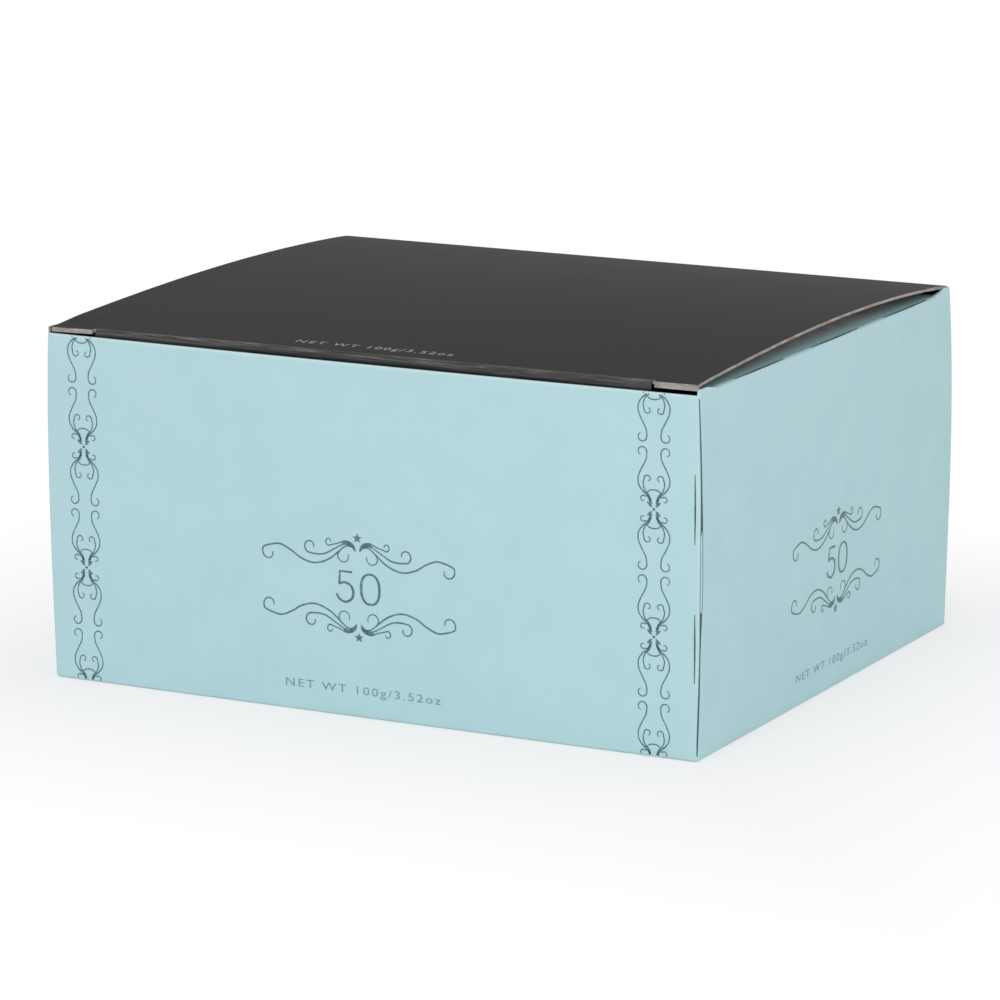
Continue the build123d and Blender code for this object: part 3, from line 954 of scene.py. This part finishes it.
def lettering(name, words, place, centre, width, height, finish):
    curve = bpy.data.curves.new(name, "FONT")
    curve.body, curve.size, curve.space_character, curve.extrude = words, 1.0, LETTER_SPACING, 0.5
    holder = bpy.data.objects.new(name + "_holder", curve)
    bpy.context.scene.collection.objects.link(holder)
    shown = holder.evaluated_get(bpy.context.evaluated_depsgraph_get())
    mesh = bpy.data.meshes.new_from_object(shown)
    bpy.data.objects.remove(holder)
    low_u = min(v.co.x for v in mesh.vertices)
    high_u = max(v.co.x for v in mesh.vertices)
    high_v = max(v.co.y for v in mesh.vertices if v.co.y < TALLEST_LETTER)
    for vertex in mesh.vertices:
        u = centre[0] + ((vertex.co.x - low_u) / (high_u - low_u) - 0.5) * width
        v = centre[1] + (vertex.co.y / high_v) * height - height / 2
        point, normal = place(u, v)
        vertex.co = (point + normal * (INK_LIFT if vertex.co.z > 0 else -INK_LIFT)) * MM
    mesh.materials.clear()
    mesh.materials.append(finish)
    piece = bpy.data.objects.new(name, mesh)
    bpy.context.scene.collection.objects.link(piece)
    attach(piece, "root")
    return piece


def lid_sheet_place(x, y):
    """A place on the lid; its slope is so slight that up is near enough the way it faces."""
    return Vector((x, y, sheet_height(x, y))), Vector((0, 0, 1))


LINES = (("front", front_place, FRONT_WEIGHT), ("right", right_place, SIDE_WEIGHT),
         ("back", back_place, FRONT_WEIGHT), ("left", left_place, SIDE_WEIGHT))
for wall_name, wall_place, centre in LINES:
    lettering(f"weight_line_{wall_name}", WEIGHT_WORDS, wall_place, centre,
              WEIGHT_WIDTH, WALL_LETTERS, pale_ink)
lettering("weight_line_lid", WEIGHT_WORDS, lid_sheet_place, LID_WEIGHT,
          WEIGHT_WIDTH, LID_LETTERS, lid_ink)
print("weight lines laid")

# %% [markdown]
# ## Knife cuts and the glued seam
# Cut creases are rows of short knife cuts that let stiff board fold: three along each dust flap's
# crease and two beside the front right corner. There the front wall's raw edge is glued down, and
# the joint shows as a fine dark line, painted shadow in the gap, that widens where the board has
# sprung. Each cut is a dark line, painted shade inside the opened cut, and along the dust flaps a
# pale line beside it is a painted highlight on the cut's raised edge.

# %% Cuts and seam
CUT_LENGTH, CUT_PITCH, CUT_SHIFT = 23.5, 37.3, 2.5
CORNER_CUT_LENGTH, CORNER_CUT_PITCH, CORNER_CUT_INSET = 14.2, 28.4, 0.75
CUT_LIFT, CUT_HIGHLIGHT_LIFT = 0.03, 0.06


def crease_place(side):
    """Places on a dust flap's rounded crease: along the wall, and the way up round it."""
    def place(y, round_it):
        turn = round_it / CREASE_RADIUS
        low = FLAP_CREASE_Z - CREASE_RADIUS
        point = side_place(side * y, low, side)[0]
        inwards, rise = CREASE_RADIUS * (1 - math.cos(turn)), CREASE_RADIUS * math.sin(turn)
        way = Vector((side * math.cos(turn), 0, math.sin(turn)))
        return point + Vector((-side * inwards, 0, rise)), way
    return place


for side_name, side in (("right", 1), ("left", -1)):
    dark = Print(f"flap_cuts_{side_name}", crease_place(side), cut_shade_ink, CUT_LIFT)
    pale = Print(f"flap_cut_highlights_{side_name}", crease_place(side), cut_highlight_ink, CUT_HIGHLIGHT_LIFT)
    for n in (-1, 0, 1):
        middle, half = side * (CUT_SHIFT + n * CUT_PITCH), CUT_LENGTH / 2
        # Dark: painted shade inside the cut. Pale: painted highlight on its raised edge.
        dark.ribbon([(middle - half, 1.16, 0.18), (middle, 1.10, 0.44), (middle + half, 1.14, 0.18)])
        pale.ribbon([(middle - half, 0.78, 0.08), (middle, 0.72, 0.24), (middle + half, 0.76, 0.08)])
    dark.make()
    pale.make()

corner_cut_u, half = WIDTH / 2 - CORNER_CUT_INSET, CORNER_CUT_LENGTH / 2
# Painted shade inside the two corner cuts.
corner_cuts = Print("corner_cuts", front_place, cut_shade_ink, CUT_LIFT)
for n in (-0.5, 0.5):
    middle = FLAP_CREASE_Z / 2 + n * CORNER_CUT_PITCH
    corner_cuts.ribbon([(corner_cut_u, middle - half, 0.16), (corner_cut_u + 0.05, middle, 0.34),
                        (corner_cut_u, middle + half, 0.16)])
corner_cuts.make()


def corner_place(u, z):
    """Places on the rounded front right corner: u runs round it from its middle."""
    turn = math.radians(-45) + u / CORNER_RADIUS
    out = Vector((math.cos(turn), math.sin(turn), 0))
    centre = Vector((half_width(z) - CORNER_RADIUS, FRONT_Y + CORNER_RADIUS, z))
    return centre + out * CORNER_RADIUS, out


# Painted shadow in the gap of the glued seam.
seam = Print("glued_seam_shadow", corner_place, cut_shade_ink, CUT_LIFT)
seam.ribbon([(0.1, 74.2, 0.22), (0.1, 66.0, 0.30), (0.12, 55.0, 0.40), (0.15, 45.0, 0.58),
             (0.15, 33.0, 0.60), (0.1, 26.0, 0.34), (0.1, 20.0, 0.26), (0.1, 12.0, 0.38),
             (0.05, 4.0, 0.34), (0.05, 1.2, 0.2)])
seam.make()
print("cuts and seam made")

# %% [markdown]
# ## Floor, light and camera
# The box stands on a plain white floor under a large soft light from the front and above, with a
# small low one at the right and an even white surround. The floor and the world look white to the
# camera, but light the box at a plain level; near the box the floor keeps its shadow. The camera
# stands well back with a long lens, a little above the box.

# %% Floor and world
FLOOR_LEAST_WHITE, FLOOR_FADE, FLOOR_REACH, WORLD_LEVEL = 0.55, 0.09, 3.0, 0.75


def stage_floor():
    mesh = bpy.data.meshes.new("floor")
    signs = ((-1, -1), (1, -1), (1, 1), (-1, 1))
    corners = [(x * FLOOR_REACH, y * FLOOR_REACH, 0) for x, y in signs]
    mesh.from_pydata(corners, [], [(0, 1, 2, 3)])
    floor = bpy.data.objects.new("floor", mesh)
    bpy.context.scene.collection.objects.link(floor)
    finish = Finish("floor_white", Base_Color=(0.9, 0.9, 0.9, 1), Roughness=0.9, Specular_IOR_Level=0.1)
    x, y, z = finish.axes()
    out_x = finish.node("ShaderNodeMath", {"operation": "ABSOLUTE"}, {0: x}) - WIDTH / 2 * MM
    out_y = finish.node("ShaderNodeMath", {"operation": "ABSOLUTE"}, {0: y}) - DEPTH / 2 * MM
    away = finish.node("ShaderNodeMath", {"operation": "MAXIMUM"}, {0: out_x, 1: out_y})
    far = FLOOR_LEAST_WHITE + (1 - FLOOR_LEAST_WHITE) * away.over(0.0, FLOOR_FADE)
    seen = finish.node("ShaderNodeLightPath", output="Is Camera Ray")
    glow = finish.node("ShaderNodeEmission", None, {"Color": (1, 1, 1, 1), "Strength": 1.0})
    shader = Wire(finish, finish.shader.outputs[0])
    mixed = finish.node("ShaderNodeMixShader", None, {0: seen * far, 1: shader, 2: glow})
    output = finish.tree.nodes["Material Output"]
    finish.tree.links.new(mixed.socket, output.inputs["Surface"])
    mesh.materials.append(finish.material)


def white_world():
    """A surround that is white to the camera and in reflections, and softer as a light."""
    world = bpy.data.worlds.new("surround")
    bpy.context.scene.world = world
    world.use_nodes = True
    tree = world.node_tree
    path = tree.nodes.new("ShaderNodeLightPath")
    background = tree.nodes["Background"]
    background.inputs["Color"].default_value = (1, 1, 1, 1)
    direct = tree.nodes.new("ShaderNodeMath")
    direct.operation = "ADD"
    tree.links.new(path.outputs["Is Camera Ray"], direct.inputs[0])
    tree.links.new(path.outputs["Is Transmission Ray"], direct.inputs[1])
    seen = tree.nodes.new("ShaderNodeMath")
    seen.operation = "ADD"
    seen.use_clamp = True
    tree.links.new(direct.outputs[0], seen.inputs[0])
    tree.links.new(path.outputs["Is Glossy Ray"], seen.inputs[1])
    level = tree.nodes.new("ShaderNodeMath")
    level.operation = "MULTIPLY_ADD"
    tree.links.new(seen.outputs[0], level.inputs[0])
    level.inputs[1].default_value = 1 - WORLD_LEVEL
    level.inputs[2].default_value = WORLD_LEVEL
    tree.links.new(level.outputs[0], background.inputs["Strength"])


stage_floor()
white_world()


def soft_lamp(name, place, target, size, power):
    lamp = bpy.data.lights.new(name, "AREA")
    lamp.shape, lamp.size, lamp.energy = "SQUARE", size, power
    holder = bpy.data.objects.new(name, lamp)
    holder.location = place
    holder.rotation_euler = (Vector(target) - Vector(place)).to_track_quat("-Z", "Y").to_euler()
    bpy.context.scene.collection.objects.link(holder)


soft_lamp("key_front", (0.15, -1.4, 0.55), (0, 0, 0.04), 0.9, 5.4)
soft_lamp("fill_right", (0.6, -0.2, 0.08), (0.05, 0, 0.0), 0.14, 0.42)
print("stage set")

# %% Camera
AZIMUTH, ELEVATION, ROLL = math.radians(27.79), math.radians(12.62), math.radians(-0.27)
DISTANCE, LENS, SENSOR = 1.0758, 179.1, 36.0
AIM_RIGHT, AIM_UP, AIM_HEIGHT = -0.0018, -0.0040, 0.0376

level_way = Vector((math.sin(AZIMUTH), -math.cos(AZIMUTH), 0))
back_way = level_way * math.cos(ELEVATION) + Vector((0, 0, math.sin(ELEVATION)))
right_way = (-back_way).cross(Vector((0, 0, 1))).normalized()
up_way = right_way.cross(-back_way)
aim = Vector((0, 0, AIM_HEIGHT)) + right_way * AIM_RIGHT + up_way * AIM_UP
camera_data = bpy.data.cameras.new("camera")
camera_data.lens, camera_data.sensor_width = LENS, SENSOR
camera = bpy.data.objects.new("camera", camera_data)
camera.location = aim + back_way * DISTANCE
camera.rotation_euler = (back_way.to_track_quat("Z", "Y").to_matrix()
                         @ Matrix.Rotation(ROLL, 3, "Z")).to_euler()
bpy.context.scene.collection.objects.link(camera)
bpy.context.scene.camera = camera
bpy.context.scene.view_settings.view_transform = "Standard"
print("camera at", [round(c, 3) for c in camera.location])
